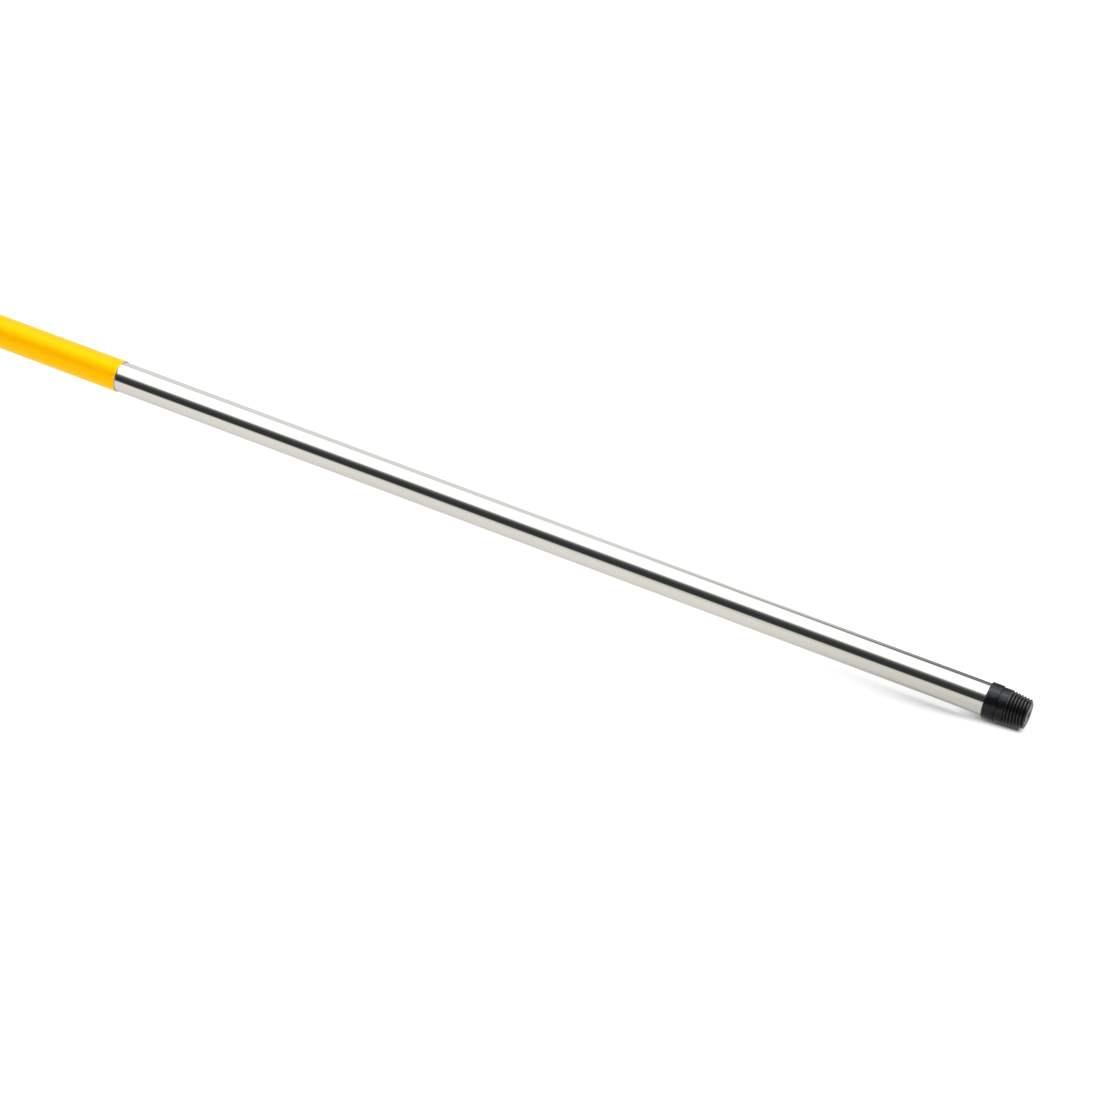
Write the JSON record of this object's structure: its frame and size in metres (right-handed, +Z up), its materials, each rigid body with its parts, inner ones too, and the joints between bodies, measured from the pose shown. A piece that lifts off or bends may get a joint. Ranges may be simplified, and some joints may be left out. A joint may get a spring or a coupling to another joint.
{
  "type": "roller extension pole",
  "caption": "Telescopic twist-lock pole with a coated grip tube, a chromed inner tube, a tapered screw tip for a roller frame and a hanging cap.",
  "frame": {"origin": "centre of the bounding box's underside, on the line where the pole touches the surface it lies on", "axes": "+X along the pole, from the hanging cap to the threaded tip; +Z up; +Y across, to the side that the hanging slot also opens on"},
  "size_m": [1.8198, 0.028, 0.028],
  "materials": {
    "bare_steel": "plain rolled steel, inside and at the rolled mouth",
    "yellow_coating": "smooth semi-gloss yellow plastic coating",
    "white_plastic": "satin white moulded plastic",
    "chrome": "bright chrome plate on drawn tube",
    "black_plastic": "satin black moulded plastic",
    "natural_nylon": "translucent off-white moulded nylon",
    "grey_nylon": "grey moulded nylon",
    "zinc_screw": "zinc-plated steel"
  },
  "bodies": {
    "handle": {"outer_tube": "bare_steel", "outer_jacket": "yellow_coating", "hanger_cap": "white_plastic"},
    "lock_ring": {"cam_ring": "grey_nylon"},
    "extension": {"inner_tube": "chrome", "thread_tip": "black_plastic", "lock_plug": "natural_nylon", "end_disc": "natural_nylon", "lock_screw": "zinc_screw"}
  },
  "joints": [
    {"name": "pole_slide", "type": "slide", "parent": "handle", "child": "lock_ring", "axis": [1, 0, 0], "range_m": [-0.716, 0.183]},
    {"name": "tube_twist", "type": "hinge", "parent": "lock_ring", "child": "extension", "pos_m": [-0.02336, 0, 0.014], "axis": [1, 0, 0], "range_deg": [-28, 28]}
  ]
}
